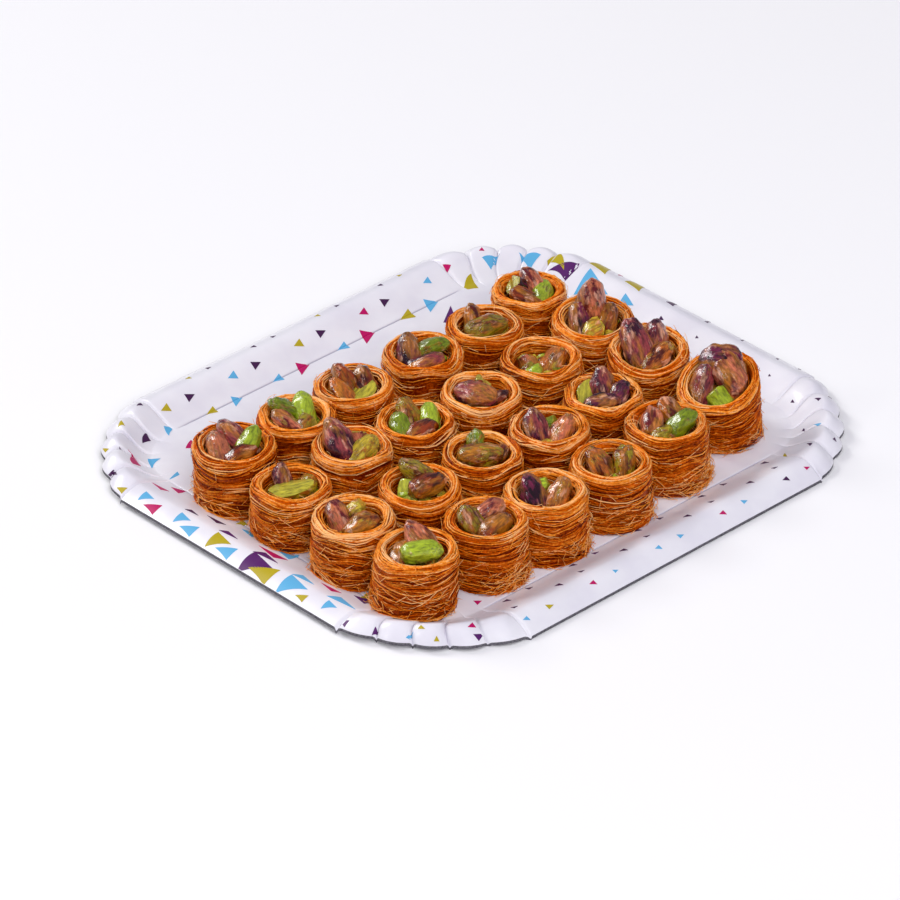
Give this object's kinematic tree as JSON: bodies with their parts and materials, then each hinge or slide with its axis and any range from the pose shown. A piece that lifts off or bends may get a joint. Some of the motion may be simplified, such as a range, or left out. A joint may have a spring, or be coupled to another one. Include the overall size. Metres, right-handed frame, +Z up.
{
  "type": "tray of kunafa rolls",
  "caption": "Pleated card tray of small round kunafa rolls, cups of wound baked dough strands filled with pistachio kernels, laid in rows.",
  "frame": {"origin": "centre of the tray's footprint, on the surface it stands on", "axes": "+X along the tray's long sides, +Y towards the long side with the free strip of tray, +Z up"},
  "size_m": [0.2802, 0.244, 0.0426],
  "materials": {
    "coated_card": "semi-gloss printed coating, grey cut edge",
    "dough_strands": "baked golden-brown strands, syrup-glazed",
    "pistachio": "green, mauve and brown kernels, glossy with syrup"
  },
  "bodies": {
    "root": {"tray": "coated_card", "kunafa_c1_r1": "dough_strands", "kunafa_c1_r2": "dough_strands", "kunafa_c1_r3": "dough_strands", "kunafa_c1_r4": "dough_strands", "kunafa_c2_r1": "dough_strands", "kunafa_c2_r2": "dough_strands", "kunafa_c2_r3": "dough_strands", "kunafa_c2_r4": "dough_strands", "kunafa_c3_r1": "dough_strands", "kunafa_c3_r2": "dough_strands", "kunafa_c3_r3": "dough_strands", "kunafa_c3_r4": "dough_strands", "kunafa_c4_r1": "dough_strands", "kunafa_c4_r2": "dough_strands", "kunafa_c4_r3": "dough_strands", "kunafa_c4_r4": "dough_strands", "kunafa_c5_r1": "dough_strands", "kunafa_c5_r2": "dough_strands", "kunafa_c5_r3": "dough_strands", "kunafa_c5_r4": "dough_strands", "kunafa_c6_r1": "dough_strands", "kunafa_c6_r2": "dough_strands", "kunafa_c6_r3": "dough_strands", "kunafa_c6_r4": "dough_strands", "pistachios_c1_r1": "pistachio", "pistachios_c1_r2": "pistachio", "pistachios_c1_r3": "pistachio", "pistachios_c1_r4": "pistachio", "pistachios_c2_r1": "pistachio", "pistachios_c2_r2": "pistachio", "pistachios_c2_r3": "pistachio", "pistachios_c2_r4": "pistachio", "pistachios_c3_r1": "pistachio", "pistachios_c3_r2": "pistachio", "pistachios_c3_r3": "pistachio", "pistachios_c3_r4": "pistachio", "pistachios_c4_r1": "pistachio", "pistachios_c4_r2": "pistachio", "pistachios_c4_r3": "pistachio", "pistachios_c4_r4": "pistachio", "pistachios_c5_r1": "pistachio", "pistachios_c5_r2": "pistachio", "pistachios_c5_r3": "pistachio", "pistachios_c5_r4": "pistachio", "pistachios_c6_r1": "pistachio", "pistachios_c6_r2": "pistachio", "pistachios_c6_r3": "pistachio", "pistachios_c6_r4": "pistachio"}
  },
  "joints": []
}
